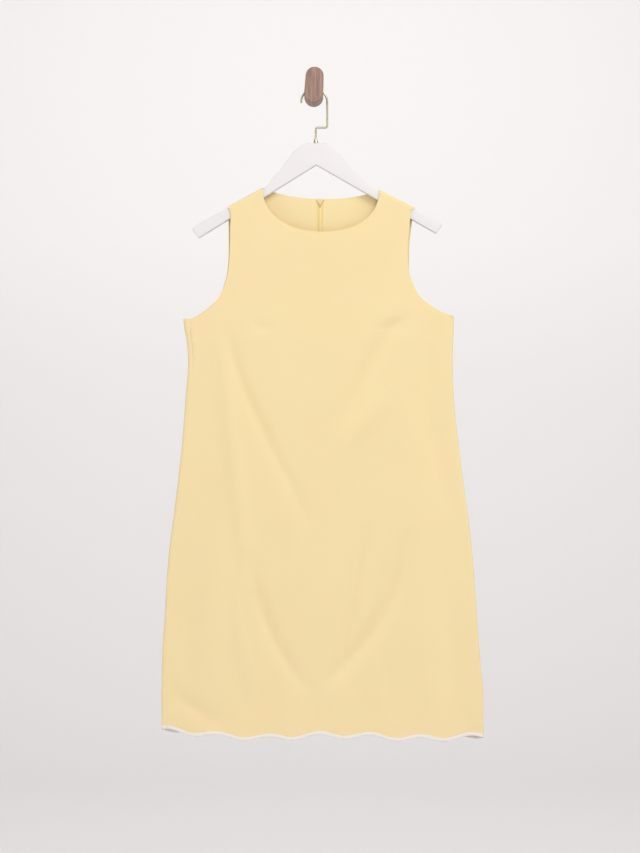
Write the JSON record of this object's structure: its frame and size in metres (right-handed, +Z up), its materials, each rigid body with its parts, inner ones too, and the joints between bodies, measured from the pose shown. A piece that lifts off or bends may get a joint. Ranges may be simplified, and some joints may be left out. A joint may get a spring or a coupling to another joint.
{
  "type": "a-line mini dress on a hanger and wall peg",
  "caption": "Sleeveless A-line mini dress with a round neck and a scalloped bound hem, on a flat hanger hooked over a wall peg.",
  "frame": {"origin": "middle of the wall peg's flat back face, on the wall", "axes": "+X to the right of the front view, +Y into the wall, +Z up"},
  "size_m": [0.5268, 0.0579, 1.0933],
  "materials": {
    "yellow_cloth": "matt woven cloth, pale butter yellow",
    "yellow_facing": "matt woven cloth, pale butter yellow",
    "white_binding": "matt bias binding, off-white",
    "yellow_zip": "woven tape and nylon coil, yellow",
    "yellow_enamel": "enamelled zinc, yellow",
    "white_paint": "white satin paint on wood",
    "brass_wire": "pale polished brass",
    "walnut_wood": "oiled walnut"
  },
  "bodies": {
    "dress": {"front_panel": "yellow_cloth", "back_panel_left": "yellow_cloth", "back_panel_right": "yellow_cloth", "back_facing_left": "yellow_facing", "back_facing_right": "yellow_facing", "zip_tape_left": "yellow_zip", "zip_tape_right": "yellow_zip", "zip_coil": "yellow_zip", "zip_slider": "yellow_enamel", "hem_binding_front": "white_binding", "hem_binding_back_left": "white_binding", "hem_binding_back_right": "white_binding", "hanger": "white_paint", "hanger_ferrule": "brass_wire", "hanger_hook": "brass_wire", "wall_peg": "walnut_wood"},
    "pull_tab": {"zip_pull_tab": "yellow_enamel"}
  },
  "joints": [
    {"name": "pull_tab_swing", "type": "hinge", "parent": "dress", "child": "pull_tab", "pos_m": [0.0095, -0.0138, -0.19], "axis": [1, 0, 0], "range_deg": [0, 150]}
  ]
}
